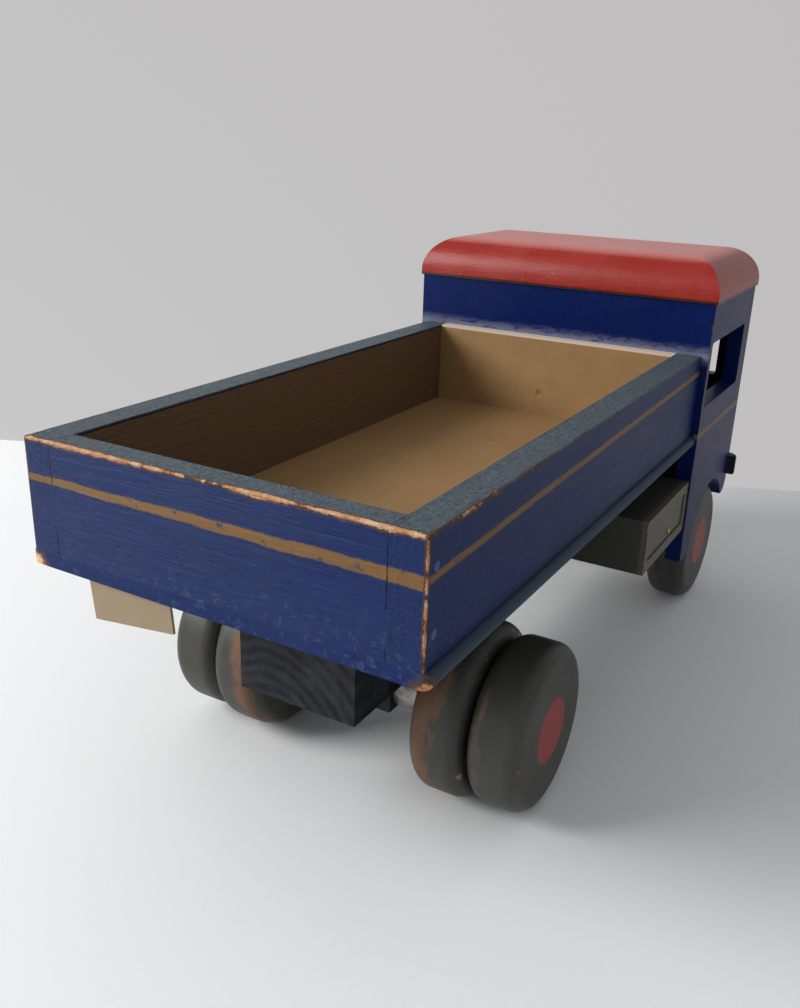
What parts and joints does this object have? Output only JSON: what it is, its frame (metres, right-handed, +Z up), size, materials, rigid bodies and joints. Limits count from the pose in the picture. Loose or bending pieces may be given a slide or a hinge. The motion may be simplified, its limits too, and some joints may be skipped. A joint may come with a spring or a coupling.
{
  "type": "toy lorry",
  "caption": "Wooden toy lorry with an open tray, boxed cab with window openings, turned twin rear wheels and single front wheels that roll on steel axles.",
  "frame": {"origin": "on the floor under the middle of the lorry's overall box", "axes": "+X forward, from the tailboard to the bumper; +Y to the lorry's left, along the axles; +Z up"},
  "size_m": [0.369, 0.165, 0.19],
  "materials": {
    "tray_paint": "brushed royal blue enamel outside, tan inside, worn to the wood at the edges",
    "base_paint": "slate blue enamel",
    "cab_paint": "royal blue enamel, dark inside",
    "roof_paint": "red enamel, glossy on top",
    "black_paint": "matt black paint over open grain",
    "wheel_paint": "olive grey paint worn to brown wood on the tread",
    "hub_paint": "red enamel",
    "locker_paint": "dull olive paint",
    "plate_paint": "cream paint, bare of figures",
    "bright_steel": "plain steel",
    "brass_pin": "dull brass"
  },
  "bodies": {
    "lorry": {"base_board": "base_paint", "tray_side_left": "tray_paint", "tray_side_right": "tray_paint", "tailboard": "tray_paint", "tray_nails": "bright_steel", "headboard": "tray_paint", "chassis_beam": "black_paint", "rear_bolster": "black_paint", "front_bolster": "black_paint", "bolster_screws": "bright_steel", "rear_axle": "bright_steel", "front_axle": "bright_steel", "rear_washers": "bright_steel", "front_washers": "bright_steel", "axle_caps": "bright_steel", "cab_side_left": "cab_paint", "cab_side_right": "cab_paint", "cab_back": "cab_paint", "cab_front": "cab_paint", "cab_roof": "roof_paint", "bumper": "black_paint", "locker_body": "locker_paint", "locker_door": "locker_paint", "locker_pin": "brass_pin", "number_plate": "plate_paint", "plate_tacks": "bright_steel"},
    "rear_wheels_left": {"rear_wheel_outer_left": "wheel_paint", "rear_wheel_inner_left": "wheel_paint", "twin_screws_left": "bright_steel", "rear_hub_disc_left": "hub_paint"},
    "front_wheel_body_left": {"front_wheel_left": "wheel_paint", "front_hub_disc_left": "hub_paint"},
    "rear_wheels_right": {"rear_wheel_outer_right": "wheel_paint", "rear_wheel_inner_right": "wheel_paint", "twin_screws_right": "bright_steel", "rear_hub_disc_right": "hub_paint"},
    "front_wheel_body_right": {"front_wheel_right": "wheel_paint", "front_hub_disc_right": "hub_paint"}
  },
  "joints": [
    {"name": "rear_roll_left", "type": "hinge", "parent": "lorry", "child": "rear_wheels_left", "pos_m": [-0.0875, 0.057, 0.0345], "axis": [0, 1, 0], "continuous": true},
    {"name": "front_roll_left", "type": "hinge", "parent": "lorry", "child": "front_wheel_body_left", "pos_m": [0.1365, 0.0665, 0.0325], "axis": [0, 1, 0], "continuous": true},
    {"name": "rear_roll_right", "type": "hinge", "parent": "lorry", "child": "rear_wheels_right", "pos_m": [-0.0875, -0.057, 0.0345], "axis": [0, 1, 0], "continuous": true},
    {"name": "front_roll_right", "type": "hinge", "parent": "lorry", "child": "front_wheel_body_right", "pos_m": [0.1365, -0.0665, 0.0325], "axis": [0, 1, 0], "continuous": true}
  ]
}
